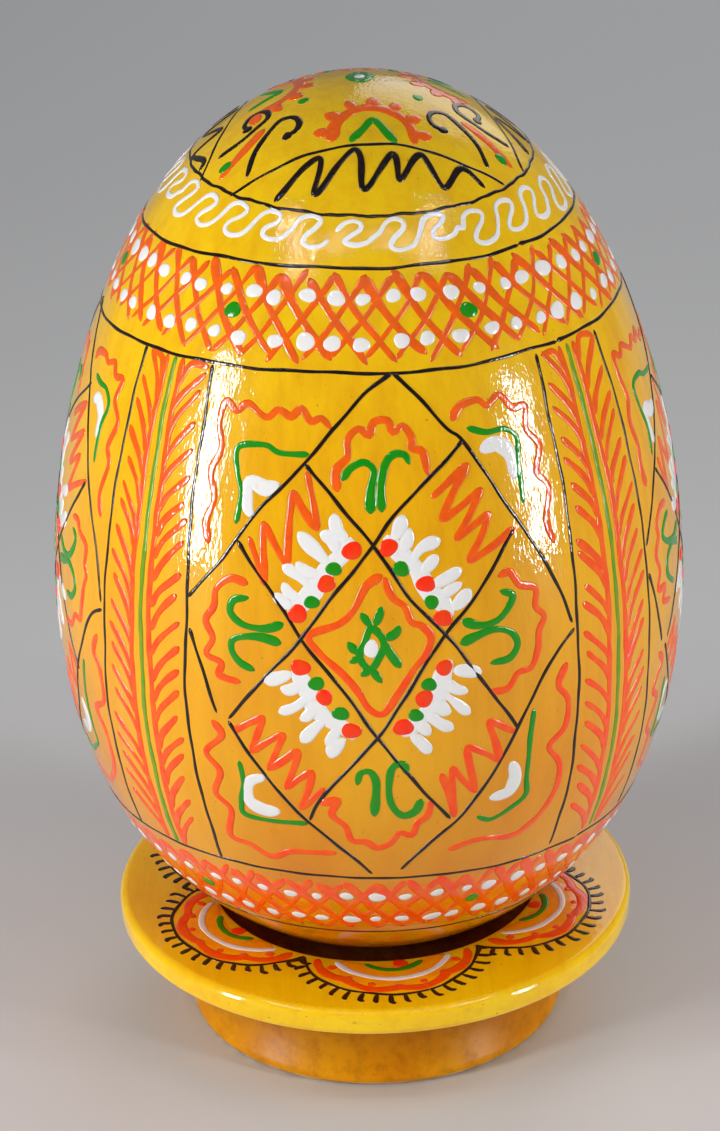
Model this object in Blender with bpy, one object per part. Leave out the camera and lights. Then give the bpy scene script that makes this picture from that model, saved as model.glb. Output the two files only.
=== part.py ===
"""A large turned wooden egg, painted as a pysanka, on its turned stand.

The stand is a foot with a spigot, and a round plate whose hole fits over the spigot. The egg stands
blunt end down in a cup in the foot's top, and a short loose dowel locates it there. The egg turns
about the dowel and lifts straight off.

The origin is at the centre of the foot's underside, and +Z runs up the egg's axis. Units are metres.
"""

import math

import bpy

FIT_GAP = 0.0003  # between any two pieces that touch

EGG_HEIGHT = 0.1535
EGG_SIDE_RADIUS = 0.05256  # the profile's radius halfway up
EGG_TAPER = -0.122  # thins the top and widens the bottom
EGG_FULLNESS = 0.0675  # blunts both ends
EGG_SKEW = 0.04  # puts back some of the width that the taper takes off the top
EGG_SEGMENTS = 56
EGG_RINGS = 28

FOOT_HEIGHT = 0.0180  # to the shoulder that carries the plate
FOOT_BASE_RADIUS = 0.0328
FOOT_NECK_RADIUS = 0.0312
FOOT_WAIST_RADIUS = 0.0303
FOOT_EDGE_ROUND = 0.0020
FOOT_RECESS_RADIUS = 0.0220
FOOT_RECESS_DEPTH = 0.0015

PLATE_RADIUS = 0.0450
PLATE_THICKNESS = 0.0048
PLATE_EDGE_ROUND = 0.0013
PLATE_HOLE_RADIUS = 0.0284
PLATE_HOLE_ROUND = 0.0006
STAND_SEGMENTS = 64

SPIGOT_HEIGHT = 0.0018
SPIGOT_CHAMFER = 0.0005
EGG_BOTTOM = 0.01650  # height of the egg's lowest point above the foot's underside

DOWEL_RADIUS = 0.0040
DOWEL_LENGTH = 0.0250
DOWEL_BOTTOM = 0.0063
DOWEL_CHAMFER = 0.0008
DOWEL_SEGMENTS = 24

ARC_STEPS = 4  # points along each rounded edge
CUP_STEPS = 6  # points along the cup that the egg stands in
SIDE_STEPS = 8  # points down the foot's coved side
HALVINGS = 40  # of the interval, when a point on the egg's profile is searched for


def clear_scene():
    """Remove every object that the file starts with."""
    for old in list(bpy.data.objects):
        bpy.data.objects.remove(old)


def painted_wood(name, colour, roughness):
    """A plain Principled material for one piece."""
    material = bpy.data.materials.new(name)
    material.use_nodes = True
    shader = material.node_tree.nodes["Principled BSDF"]
    shader.inputs["Base Color"].default_value = (*colour, 1.0)
    shader.inputs["Roughness"].default_value = roughness
    shader.inputs["Metallic"].default_value = 0.0
    return material


def arc(centre_r, centre_z, radius, start_deg, end_deg, steps=ARC_STEPS):
    """Points (r, z) along an arc, with angles measured from the outward direction towards +Z."""
    points = []
    for step in range(steps + 1):
        angle = math.radians(start_deg + (end_deg - start_deg) * step / steps)
        points.append((centre_r + radius * math.cos(angle), centre_z + radius * math.sin(angle)))
    return points


def turned(name, outline, segments, material, parent, closed=False):
    """Spin an outline of (r, z) points about Z. It runs down the outer side, from the top."""
    edges = [(i, i + 1) for i in range(len(outline) - 1)]
    if closed:
        edges.append((len(outline) - 1, 0))
    mesh = bpy.data.meshes.new(name)
    mesh.from_pydata([(r, 0.0, z) for r, z in outline], edges, [])
    mesh.materials.append(material)
    piece = bpy.data.objects.new(name, mesh)
    bpy.context.scene.collection.objects.link(piece)
    piece.parent = parent
    lathe = piece.modifiers.new("Lathe", "SCREW")
    lathe.axis = "Z"
    lathe.angle = math.tau
    lathe.steps = segments
    lathe.render_steps = segments
    lathe.use_merge_vertices = True
    lathe.merge_threshold = 0.00001
    lathe.use_smooth_shade = True
    return piece


def joint_empty(name, height, parent=None):
    """An empty on the vertical axis that both joints share."""
    empty = bpy.data.objects.new(name, None)
    bpy.context.scene.collection.objects.link(empty)
    empty.location = (0.0, 0.0, height)
    empty.parent = parent
    return empty


def egg_point(phi, outset=0.0):
    """The egg's profile (r, z) at polar angle phi from the top, moved outwards by outset."""
    def on_profile(angle):
        t = math.cos(angle)
        width = 1.0 + EGG_TAPER * t + EGG_FULLNESS * t**2 + EGG_SKEW * t**3
        centre = EGG_BOTTOM + EGG_HEIGHT / 2
        return EGG_SIDE_RADIUS * math.sin(angle) * width, centre + EGG_HEIGHT / 2 * t

    step = 0.001
    before = on_profile(phi - step)
    after = on_profile(phi + step)
    along_r = after[0] - before[0]
    along_z = after[1] - before[1]
    length = math.hypot(along_r, along_z)
    r, z = on_profile(phi)
    return r - along_z / length * outset, z + along_r / length * outset


def egg_angle_at(height, outset=0.0):
    """The polar angle at which the lower half of the profile reaches a height."""
    low = math.pi / 2
    high = math.pi
    for _ in range(HALVINGS):
        middle = (low + high) / 2
        if egg_point(middle, outset)[1] > height:
            low = middle
        else:
            high = middle
    return low


def egg_angle_at_radius(radius, outset=0.0):
    """The polar angle at which the blunt end narrows to a radius."""
    low = math.pi * 0.75
    high = math.pi
    for _ in range(HALVINGS):
        middle = (low + high) / 2
        if egg_point(middle, outset)[0] > radius:
            low = middle
        else:
            high = middle
    return low


def make_egg(parent, base_height):
    """The solid egg, with a blind socket for the dowel in its blunt end."""
    socket_radius = DOWEL_RADIUS + FIT_GAP
    socket_top = DOWEL_BOTTOM + DOWEL_LENGTH + FIT_GAP
    last = egg_angle_at_radius(socket_radius)
    outline = [(0.0, EGG_BOTTOM + EGG_HEIGHT)]
    outline += [egg_point(last * ring / EGG_RINGS) for ring in range(1, EGG_RINGS + 1)]
    outline += [(socket_radius, socket_top), (0.0, socket_top)]
    outline = [(r, z - base_height) for r, z in outline]
    lacquer = painted_wood("egg_lacquer", (0.80, 0.42, 0.01), 0.12)
    return turned("egg_body", outline, EGG_SEGMENTS, lacquer, parent)


def make_foot():
    """The turned foot: a cup that fits the egg, a spigot for the plate, and a recessed underside."""
    hole_radius = DOWEL_RADIUS + FIT_GAP
    cup_start = egg_angle_at_radius(hole_radius, FIT_GAP)
    spigot_top = FOOT_HEIGHT + SPIGOT_HEIGHT
    spigot_radius = PLATE_HOLE_RADIUS - FIT_GAP
    cup_end = egg_angle_at(spigot_top, FIT_GAP)
    outline = [(0.0, DOWEL_BOTTOM - FIT_GAP), (hole_radius, DOWEL_BOTTOM - FIT_GAP)]
    for step in range(CUP_STEPS + 1):
        outline.append(egg_point(cup_start + (cup_end - cup_start) * step / CUP_STEPS, FIT_GAP))
    outline += [(spigot_radius - SPIGOT_CHAMFER, spigot_top), (spigot_radius, spigot_top - SPIGOT_CHAMFER)]
    outline += [(spigot_radius, FOOT_HEIGHT), (FOOT_NECK_RADIUS, FOOT_HEIGHT)]
    middle_radius = (FOOT_NECK_RADIUS + FOOT_BASE_RADIUS) / 2
    for step in range(1, SIDE_STEPS):
        down = step / SIDE_STEPS
        straight = FOOT_NECK_RADIUS + (FOOT_BASE_RADIUS - FOOT_NECK_RADIUS) * down
        cove = (middle_radius - FOOT_WAIST_RADIUS) * math.sin(math.pi * down)
        outline.append((straight - cove, FOOT_HEIGHT + (FOOT_EDGE_ROUND - FOOT_HEIGHT) * down))
    outline += arc(FOOT_BASE_RADIUS - FOOT_EDGE_ROUND, FOOT_EDGE_ROUND, FOOT_EDGE_ROUND, 0, -90)
    outline += [(FOOT_RECESS_RADIUS, 0.0), (FOOT_RECESS_RADIUS, FOOT_RECESS_DEPTH), (0.0, FOOT_RECESS_DEPTH)]
    lacquer = painted_wood("foot_lacquer", (0.72, 0.36, 0.01), 0.18)
    return turned("stand_foot", outline, STAND_SEGMENTS, lacquer, None)


def make_plate():
    """The round plate, with a rounded rim and a hole that fits over the foot's spigot."""
    bottom = FOOT_HEIGHT + FIT_GAP
    top = bottom + PLATE_THICKNESS
    rim = PLATE_RADIUS - PLATE_EDGE_ROUND
    hole = PLATE_HOLE_RADIUS + PLATE_HOLE_ROUND
    outline = arc(rim, top - PLATE_EDGE_ROUND, PLATE_EDGE_ROUND, 90, 0)
    outline += arc(rim, bottom + PLATE_EDGE_ROUND, PLATE_EDGE_ROUND, 0, -90)
    outline += arc(hole, bottom + PLATE_HOLE_ROUND, PLATE_HOLE_ROUND, 270, 180, 2)
    outline += arc(hole, top - PLATE_HOLE_ROUND, PLATE_HOLE_ROUND, 180, 90, 2)
    lacquer = painted_wood("plate_lacquer", (0.83, 0.50, 0.01), 0.15)
    return turned("stand_plate", outline, STAND_SEGMENTS, lacquer, None, closed=True)


def make_dowel(parent, base_height):
    """The loose dowel between the foot's hole and the egg's socket."""
    bottom = DOWEL_BOTTOM - base_height
    top = bottom + DOWEL_LENGTH
    shoulder = DOWEL_RADIUS - DOWEL_CHAMFER
    outline = [(0.0, top), (shoulder, top), (DOWEL_RADIUS, top - DOWEL_CHAMFER)]
    outline += [(DOWEL_RADIUS, bottom + DOWEL_CHAMFER), (shoulder, bottom), (0.0, bottom)]
    wood = painted_wood("bare_dowel", (0.62, 0.45, 0.27), 0.6)
    return turned("locating_peg", outline, DOWEL_SEGMENTS, wood, parent)


def main():
    clear_scene()
    make_foot()
    make_plate()
    turn_axis = joint_empty("egg_turn_axis", DOWEL_BOTTOM)
    lift_axis = joint_empty("egg_lift_axis", EGG_BOTTOM - DOWEL_BOTTOM, turn_axis)
    make_dowel(turn_axis, DOWEL_BOTTOM)
    make_egg(lift_axis, EGG_BOTTOM)


main()
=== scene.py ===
"""The painted look of the wooden egg and its stand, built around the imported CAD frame.

Every brush stroke and dot is its own low, closed relief of paint on the turned wood. The egg's pattern
is laid out in two surface coordinates: the azimuth in degrees, where 0 faces -Y and 90 faces +X, and
the arc length along the profile from the egg's tip, in design millimetres. A design millimetre is MM
metres. The cap's and the plate's patterns are laid out flat instead, in design millimetres with x to
the right and y towards the back, measured from the egg's tip and from the plate's centre.
"""
import math
import random

import bpy
import numpy as np
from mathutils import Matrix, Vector


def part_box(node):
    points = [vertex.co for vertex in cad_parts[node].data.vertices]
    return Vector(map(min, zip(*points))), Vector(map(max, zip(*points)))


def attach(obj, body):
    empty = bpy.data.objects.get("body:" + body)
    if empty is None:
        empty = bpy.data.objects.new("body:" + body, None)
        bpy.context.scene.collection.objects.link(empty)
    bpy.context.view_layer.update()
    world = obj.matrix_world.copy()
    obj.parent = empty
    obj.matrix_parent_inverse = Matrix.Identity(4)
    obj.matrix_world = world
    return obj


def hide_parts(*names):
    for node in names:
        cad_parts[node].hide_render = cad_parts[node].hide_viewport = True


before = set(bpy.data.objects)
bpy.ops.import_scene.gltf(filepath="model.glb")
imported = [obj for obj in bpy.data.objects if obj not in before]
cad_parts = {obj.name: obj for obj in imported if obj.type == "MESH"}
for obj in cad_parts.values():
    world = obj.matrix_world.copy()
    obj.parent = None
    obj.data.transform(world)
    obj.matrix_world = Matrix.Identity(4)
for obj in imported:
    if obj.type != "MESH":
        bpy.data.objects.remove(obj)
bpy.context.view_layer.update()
dice = random.Random(11)

# ===== Sizes, read from the frame =====
EGG_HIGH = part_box("egg_body")[1]
FOOT_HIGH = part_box("stand_foot")[1]
PLATE_LOW, PLATE_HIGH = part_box("stand_plate")
PEG_LOW, PEG_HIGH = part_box("locating_peg")

EGG_TOP = EGG_HIGH.z
EGG_HEIGHT = EGG_HIGH.x * 2.900
EGG_BOTTOM = EGG_TOP - EGG_HEIGHT
EGG_SIDE_RADIUS = EGG_HIGH.x * 0.993  # halfway up, just less than at the widest
EGG_TAPER = -0.122  # thins the top and widens the bottom
EGG_FULLNESS = 0.0675  # blunts both ends
EGG_SKEW = 0.04  # puts back some of the width that the taper takes off the top
MM = EGG_HEIGHT / 153.5
FIT_GAP = 0.3 * MM

SOCKET_RADIUS = PEG_HIGH.x + FIT_GAP
SOCKET_TOP = PEG_HIGH.z + FIT_GAP
PLATE_RADIUS = PLATE_HIGH.x
PLATE_HOLE_RADIUS = PLATE_RADIUS * 0.631
FOOT_BASE_RADIUS = FOOT_HIGH.x
FOOT_SHOULDER = PLATE_LOW.z - FIT_GAP
SPIGOT_TOP = FOOT_HIGH.z

# The egg's horizontal circles, as arc lengths from the tip, in design millimetres
CAP_CIRCLE = 31.3
LATTICE_TOP = 40.4
PANEL_TOP = 56.6
PANEL_BOTTOM = 145.0
LOWER_LATTICE_BOTTOM = 163.5
TILT = 2.4  # how far the circles below the cap sink from the front to the sides

# The four painted panels: azimuths of their axes, and half their widths, in degrees
PANEL_AXES = (2.5, 94.0, 183.0, 271.5)
PANEL_HALF_WIDTHS = (36.5, 35.0, 34.0, 34.5)
MOTIF_AXIS = PANEL_AXES[0]  # the motif's points are azimuths and arc lengths on the front panel
MOTIF_HALF_WIDTH = PANEL_HALF_WIDTHS[0]

PAINT_SINK = 0.10  # how deep a stroke's underside lies in the lacquer, in design millimetres


# ===== Surfaces that the pattern is painted on =====
def egg_profile(phi):
    """The egg's profile radius and height at polar angles phi, counted from the tip."""
    t = np.cos(phi)
    width = 1 + EGG_TAPER * t + EGG_FULLNESS * t**2 + EGG_SKEW * t**3
    return EGG_SIDE_RADIUS * np.sin(phi) * width, EGG_BOTTOM + EGG_HEIGHT / 2 * (1 + t)


PROFILE_PHI = np.linspace(0, math.pi, 3001)
PROFILE_R, PROFILE_Z = egg_profile(PROFILE_PHI)
PROFILE_STEP_R = np.gradient(PROFILE_R)
PROFILE_STEP_Z = np.gradient(PROFILE_Z)
PROFILE_STEP = np.hypot(PROFILE_STEP_R, PROFILE_STEP_Z)
PROFILE_ARC = np.concatenate([[0], np.cumsum(np.hypot(np.diff(PROFILE_R), np.diff(PROFILE_Z)))])
PROFILE_NORMAL_R = -PROFILE_STEP_Z / PROFILE_STEP
PROFILE_NORMAL_Z = PROFILE_STEP_R / PROFILE_STEP


def egg_ring(arc, height=0.0):
    """Radius and height of the egg's surface at arc lengths in metres, lifted off by height."""
    radius = np.interp(arc, PROFILE_ARC, PROFILE_R) + height * np.interp(arc, PROFILE_ARC, PROFILE_NORMAL_R)
    z = np.interp(arc, PROFILE_ARC, PROFILE_Z) + height * np.interp(arc, PROFILE_ARC, PROFILE_NORMAL_Z)
    return radius, z


class EggSide:
    """Azimuth in degrees and arc length in design millimetres, below the cap."""

    body = "egg"
    slot = "egg_lacquer"

    @staticmethod
    def grain(points):
        """Design millimetres to one degree of azimuth, at each point."""
        return np.interp(points[:, 1] * MM, PROFILE_ARC, PROFILE_R) / MM * math.pi / 180

    @staticmethod
    def place(points, height):
        azimuth = np.radians(points[:, 0])
        sink = TILT * (1 - np.cos(azimuth)) * np.clip((points[:, 1] - CAP_CIRCLE) / 8, 0, 1)
        radius, z = egg_ring((points[:, 1] + sink) * MM, height * MM)
        return np.stack([radius * np.sin(azimuth), -radius * np.cos(azimuth), z], 1)


class EggCap:
    """Flat coordinates about the egg's tip, in design millimetres, with true distances from the tip."""

    body = "egg"
    slot = "egg_lacquer"

    @staticmethod
    def grain(points):
        return np.ones(len(points))

    @staticmethod
    def place(points, height):
        azimuth = np.arctan2(points[:, 0], -points[:, 1])
        radius, z = egg_ring(np.hypot(points[:, 0], points[:, 1]) * MM, height * MM)
        return np.stack([radius * np.sin(azimuth), -radius * np.cos(azimuth), z], 1)


class PlateTop:
    """Flat coordinates about the plate's centre, in design millimetres."""

    body = "stand"
    slot = "plate_lacquer"

    @staticmethod
    def grain(points):
        return np.ones(len(points))

    @staticmethod
    def place(points, height):
        z = PLATE_HIGH.z + np.broadcast_to(height, len(points)) * MM
        return np.stack([points[:, 0] * MM, points[:, 1] * MM, z], 1)


# ===== Meshes =====
def mesh_piece(name, vertices, faces, materials, body):
    """A smooth mesh object from an array of vertices and a list of face arrays."""
    mesh = bpy.data.meshes.new(name)
    loops = np.concatenate([part.ravel() for part in faces]).astype(np.int32)
    sizes = np.concatenate([np.full(len(part), part.shape[1]) for part in faces])
    starts = np.concatenate([[0], np.cumsum(sizes)[:-1]]).astype(np.int32)
    mesh.vertices.add(len(vertices))
    mesh.vertices.foreach_set("co", np.asarray(vertices, np.float32).ravel())
    mesh.loops.add(len(loops))
    mesh.loops.foreach_set("vertex_index", loops)
    mesh.polygons.add(len(starts))
    mesh.polygons.foreach_set("loop_start", starts)
    mesh.update(calc_edges=True)
    mesh.validate()
    mesh.shade_smooth()
    for material in materials:
        mesh.materials.append(material)
    piece = bpy.data.objects.new(name, mesh)
    bpy.context.scene.collection.objects.link(piece)
    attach(piece, body)
    return piece


def lathe(name, outline, segments, materials, body, closed=False):
    """Turn an outline of (radius, z), running down the outer side, into a solid or a ring."""
    outline = np.array(outline)
    rings = len(outline)
    angle = np.arange(segments) * math.tau / segments
    on_axis = [] if closed else [0, rings - 1]
    ring_ids = [i for i in range(rings) if i not in on_axis]
    r = outline[ring_ids, 0][:, None]
    z = np.broadcast_to(outline[ring_ids, 1][:, None], (len(ring_ids), segments))
    vertices = np.stack([r * np.cos(angle), r * np.sin(angle), z], -1).reshape(-1, 3)
    column = np.arange(segments)
    beside = (column + 1) % segments
    strips = []
    pairs = len(ring_ids) if closed else len(ring_ids) - 1
    for i in range(pairs):
        upper = i * segments
        lower = (i + 1) % len(ring_ids) * segments
        strips.append(np.stack([upper + column, lower + column, lower + beside, upper + beside], 1))
    faces = [np.concatenate(strips)]
    if not closed:
        top = len(vertices)
        last = (len(ring_ids) - 1) * segments
        vertices = np.vstack([vertices, [0, 0, outline[0, 1]], [0, 0, outline[-1, 1]]])
        faces.append(np.stack([np.full(segments, top), column, beside], 1))
        faces.append(np.stack([np.full(segments, top + 1), last + beside, last + column], 1))
    return mesh_piece(name, vertices, faces, materials, body)


def arc(centre_r, centre_z, radius, start_deg, end_deg, steps=10):
    """Outline points (r, z) along an arc."""
    angles = np.radians(np.linspace(start_deg, end_deg, steps + 1))
    return [(centre_r + radius * math.cos(a), centre_z + radius * math.sin(a)) for a in angles]


def smooth_path(points, grain, closed, step):
    """A Catmull-Rom curve through the points, with one sample for each step of length."""
    points = np.asarray(points, float)
    if closed:
        padded = np.vstack([points[-1], points, points[:2]])
    else:
        padded = np.vstack([2 * points[0] - points[1], points, 2 * points[-1] - points[-2]])
    samples = []
    for i in range(1, len(padded) - 2):
        a, b, c, d = padded[i - 1 : i + 3]
        across = (c[0] - b[0]) * grain(np.array([(b + c) / 2]))[0]
        count = max(2, int(math.ceil(math.hypot(across, c[1] - b[1]) / step)))
        t = np.arange(count)[:, None] / count
        straight = b + t * (c - a) / 2
        curved = t**2 * (a - 2.5 * b + 2 * c - d / 2) + t**3 * (1.5 * (b - c) + (d - a) / 2)
        samples.append(straight + curved)
    if not closed:
        samples.append(padded[-2][None, :])
    return np.vstack(samples)


# Across a stroke: the share of its half-width, and the share of its height
SECTION_ACROSS = np.array([-1.0, -0.88, -0.5, 0.0, 0.5, 0.88, 1.0])
SECTION_HEIGHT = np.array([0.0, 0.55, 0.9, 1.0, 0.9, 0.55, 0.0])
# The same on a drop of paint, from its middle out to the edge, which is sunk in the lacquer
DROP_RINGS = ((0.5, 0.9), (0.82, 0.62), (0.96, 0.3), (1.0, None))
# Wavelengths in design millimetres: two that shift a stroke sideways, and two that vary its width
STROKE_WAVES = (9.0, 4.0, 6.0, 2.3)


class Paint:
    """Strokes and dots of one colour, joined into one mesh."""

    def __init__(self, name, surface, material):
        self.name = name
        self.surface = surface
        self.material = material
        self.vertices = []
        self.quads = []
        self.triangles = []
        self.count = 0

    def keep(self, vertices, quads, triangles):
        """Store one closed relief, turned so that its faces point out."""
        a, b, c, d = (vertices[quads[:, i]] for i in range(4))
        volume = np.einsum("ij,ij->", a, np.cross(b, c)) + np.einsum("ij,ij->", a, np.cross(c, d))
        a, b, c = (vertices[triangles[:, i]] for i in range(3))
        volume += np.einsum("ij,ij->", a, np.cross(b, c))
        if volume < 0:
            quads = quads[:, ::-1]
            triangles = triangles[:, ::-1]
        self.vertices.append(vertices)
        self.quads.append(quads + self.count)
        self.triangles.append(triangles + self.count)
        self.count += len(vertices)

    def stroke(self, points, width, height=0.08, closed=False, wobble=0.08, blob=0.0, step=0.55):
        """One brush stroke through the points. A blob widens its start, as a full brush does."""
        path = smooth_path(points, self.surface.grain, closed, step)
        scale = self.surface.grain(path)
        if closed:
            ahead = np.roll(path, -1, 0) - np.roll(path, 1, 0)
        else:
            ahead = np.gradient(path, axis=0)
        along_x = ahead[:, 0] * scale
        along_y = ahead[:, 1]
        length = np.hypot(along_x, along_y) + 1e-9
        side_x = -along_y / length
        side_y = along_x / length
        # Whole lengths on a closed stroke. On an open one they are half lengths, which lets it taper slowly
        travelled = np.concatenate([[0], np.cumsum(length[1:] / 2)])
        total = travelled[-1]
        phases = [dice.uniform(0, math.tau) for _ in STROKE_WAVES]
        if closed:
            turns = [round(total / wave) for wave in STROKE_WAVES]
            waves = [np.sin(math.tau * n * travelled / total + p) for n, p in zip(turns, phases)]
        else:
            waves = [np.sin(math.tau * travelled / w + p) for w, p in zip(STROKE_WAVES, phases)]
        shift = wobble * (waves[0] + 0.5 * waves[1])
        half = width / 2 * (1 + 0.10 * waves[2] + 0.05 * waves[3])
        if not closed:
            from_end = np.minimum(travelled, total - travelled)
            inside = np.clip(from_end / (width / 2), 0, 1)
            half = half * np.sqrt(np.clip(1 - (1 - inside) ** 2, 0.06, 1))
            half = half * (1 + blob * np.exp(-((travelled - width * 0.6) / (width * 0.8)) ** 2))
        rings = len(path)
        across = SECTION_ACROSS[None, :] * half[:, None] + shift[:, None]
        lift = SECTION_HEIGHT[None, :] * height * np.clip(half / (width / 2), 0.3, 1.15)[:, None]
        lift[:, [0, -1]] = -PAINT_SINK
        flat_x = path[:, 0][:, None] + across * (side_x / scale)[:, None]
        flat_y = path[:, 1][:, None] + across * side_y[:, None]
        flat = np.stack([flat_x.ravel(), flat_y.ravel()], 1)
        vertices = self.surface.place(flat, lift.ravel())
        wide = len(SECTION_ACROSS)
        ring = np.arange(rings if closed else rings - 1) * wide
        following = (ring + wide) % (rings * wide)
        quads = []
        for k in range(wide):
            n = (k + 1) % wide
            quads.append(np.stack([ring + k, ring + n, following + n, following + k], 1))
        if closed:
            triangles = np.zeros((0, 3), int)
        else:
            last = (rings - 1) * wide
            start_cap = [[0, k + 1, k] for k in range(1, wide - 1)]
            end_cap = [[last, last + k, last + k + 1] for k in range(1, wide - 1)]
            triangles = np.array(start_cap + end_cap)
        self.keep(vertices, np.concatenate(quads), triangles)

    def legs(self, points, width, height=0.08, bow=0.25):
        """A zigzag: a short, slightly bowed stroke along each leg, so that its corners stay sharp."""
        points = np.asarray(points, float)
        for a, b in zip(points[:-1], points[1:]):
            scale = self.surface.grain(np.array([(a + b) / 2]))[0]
            lean = np.array([-(b[1] - a[1]) / scale, (b[0] - a[0]) * scale])
            lean = lean / (math.hypot(lean[0] * scale, lean[1]) + 1e-9)
            middle = (a + b) / 2 + lean * dice.uniform(-bow, bow)
            self.stroke([a, middle, b], width * dice.uniform(0.9, 1.1), height, wobble=0.03)

    def dot(self, centre, size, height=0.15, stretch=1.0, turn=0.0, corners=18):
        """A round drop of paint, a little uneven, stretched along the direction turn."""
        angle = np.arange(corners) * math.tau / corners
        oval = 0.07 * np.sin(2 * angle + dice.uniform(0, 6))
        lobed = 0.05 * np.sin(3 * angle + dice.uniform(0, 6))
        radius = size / 2 * (1 + oval + lobed)
        out_x = radius * np.cos(angle) * stretch
        out_y = radius * np.sin(angle)
        x = out_x * math.cos(turn) - out_y * math.sin(turn)
        y = out_x * math.sin(turn) + out_y * math.cos(turn)
        centre = np.asarray(centre, float)
        scale = self.surface.grain(centre[None, :])[0]
        flat = [centre[None, :]]
        lift = [[height]]
        for share, rise in DROP_RINGS:
            flat.append(centre + np.stack([x * share / scale, y * share], 1))
            lift.append(np.full(corners, -PAINT_SINK if rise is None else height * rise))
        flat.append(centre[None, :])
        lift.append([-PAINT_SINK])
        vertices = self.surface.place(np.vstack(flat), np.concatenate(lift))
        column = np.arange(corners)
        beside = (column + 1) % corners
        quads = []
        last = len(DROP_RINGS) - 1
        for ring in range(last):
            inner = 1 + ring * corners
            outer = inner + corners
            quads.append(np.stack([inner + column, outer + column, outer + beside, inner + beside], 1))
        outer = 1 + last * corners
        bottom = outer + corners
        top_fan = np.stack([np.zeros(corners, int), 1 + column, 1 + beside], 1)
        bottom_fan = np.stack([np.full(corners, bottom), outer + beside, outer + column], 1)
        self.keep(vertices, np.concatenate(quads), np.concatenate([top_fan, bottom_fan]))

    def build(self):
        vertices = np.concatenate(self.vertices)
        faces = [np.concatenate(self.quads), np.concatenate(self.triangles)]
        mesh_piece(self.name, vertices, faces, [self.material], self.surface.body)


# ===== Materials =====
def linear(red, green, blue):
    """An sRGB colour of 0 to 255 as linear values."""
    return tuple((c / 255) ** 2.2 for c in (red, green, blue)) + (1.0,)


class Nodes:
    """A material's node tree, with short helpers."""

    def __init__(self, name, roughness, coat_roughness=0.03, coat=1.0):
        self.material = bpy.data.materials.new(name)
        self.material.use_nodes = True
        self.tree = self.material.node_tree
        self.shader = self.tree.nodes["Principled BSDF"]
        self.shader.inputs["Roughness"].default_value = roughness
        self.shader.inputs["Coat Weight"].default_value = coat
        self.shader.inputs["Coat Roughness"].default_value = coat_roughness
        self.shader.inputs["Coat IOR"].default_value = 1.5
        self.shader.inputs["Specular IOR Level"].default_value = 0.05
        self.place = self.tree.nodes.new("ShaderNodeTexCoord").outputs["Object"]

    def link(self, source, node, socket):
        self.tree.links.new(source, node.inputs[socket])

    def stretched(self, scale):
        """Object coordinates multiplied by an (x, y, z) scale."""
        node = self.tree.nodes.new("ShaderNodeMapping")
        node.inputs["Scale"].default_value = scale
        self.link(self.place, node, "Vector")
        return node.outputs["Vector"]

    def noise(self, scale, detail=2.0, roughness=0.5):
        """Noise whose features are 1/scale metres, scale being (x, y, z)."""
        node = self.tree.nodes.new("ShaderNodeTexNoise")
        node.inputs["Scale"].default_value = 1.0
        node.inputs["Detail"].default_value = detail
        node.inputs["Roughness"].default_value = roughness
        self.link(self.stretched(scale), node, "Vector")
        return node.outputs["Fac"]

    def ramp(self, value, stops):
        """A colour ramp over (position, colour) stops."""
        node = self.tree.nodes.new("ShaderNodeValToRGB")
        elements = node.color_ramp.elements
        while len(elements) < len(stops):
            elements.new(0.5)
        for element, (position, colour) in zip(elements, stops):
            element.position = position
            element.color = colour
        self.link(value, node, "Fac")
        return node.outputs["Color"]

    def mix(self, factor, a, b):
        """Mix two colours, each a socket or a constant, by a socket or a number."""
        node = self.tree.nodes.new("ShaderNodeMix")
        node.data_type = "RGBA"
        for socket, value in ((node.inputs["Factor"], factor), (node.inputs[6], a), (node.inputs[7], b)):
            if isinstance(value, bpy.types.NodeSocket):
                self.tree.links.new(value, socket)
            else:
                socket.default_value = value
        return node.outputs[2]

    def span(self, value, low, high, to_low=0.0, to_high=1.0):
        """Map a value from one range to another, clamped."""
        node = self.tree.nodes.new("ShaderNodeMapRange")
        node.inputs["From Min"].default_value = low
        node.inputs["From Max"].default_value = high
        node.inputs["To Min"].default_value = to_low
        node.inputs["To Max"].default_value = to_high
        self.link(value, node, "Value")
        return node.outputs["Result"]

    def height(self):
        """The Z of the object coordinates."""
        node = self.tree.nodes.new("ShaderNodeSeparateXYZ")
        self.link(self.place, node, "Vector")
        return node.outputs["Z"]

    def bump(self, value, distance, below=None):
        """A normal tilted by a height in metres, on top of another bump's normal if there is one."""
        node = self.tree.nodes.new("ShaderNodeBump")
        node.inputs["Distance"].default_value = distance
        self.link(value, node, "Height")
        if below is not None:
            self.link(below, node, "Normal")
        return node.outputs["Normal"]

    def lumpy_lacquer(self, lumps, pips):
        """Hand-brushed lacquer: slow lumps that run down the piece, and finer pips in it."""
        slow = self.bump(self.noise((300, 300, 110), 1.0), lumps)
        middling = self.bump(self.noise((1500, 1500, 400), 1.0, 0.6), pips, slow)
        fine = self.bump(self.noise((3200, 3200, 800), 1.0), pips * 0.7, middling)
        self.link(fine, self.shader, "Normal")
        self.link(fine, self.shader, "Coat Normal")

    def colour(self, socket):
        self.link(socket, self.shader, "Base Color")
        return self.material


# Heights of the lacquer's relief in metres: the slow lumps, and the pips in them
LUMPS = 0.00014
PIPS = 0.000040
STAND_LUMPS = LUMPS / 2
STAND_PIPS = PIPS / 2


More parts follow.
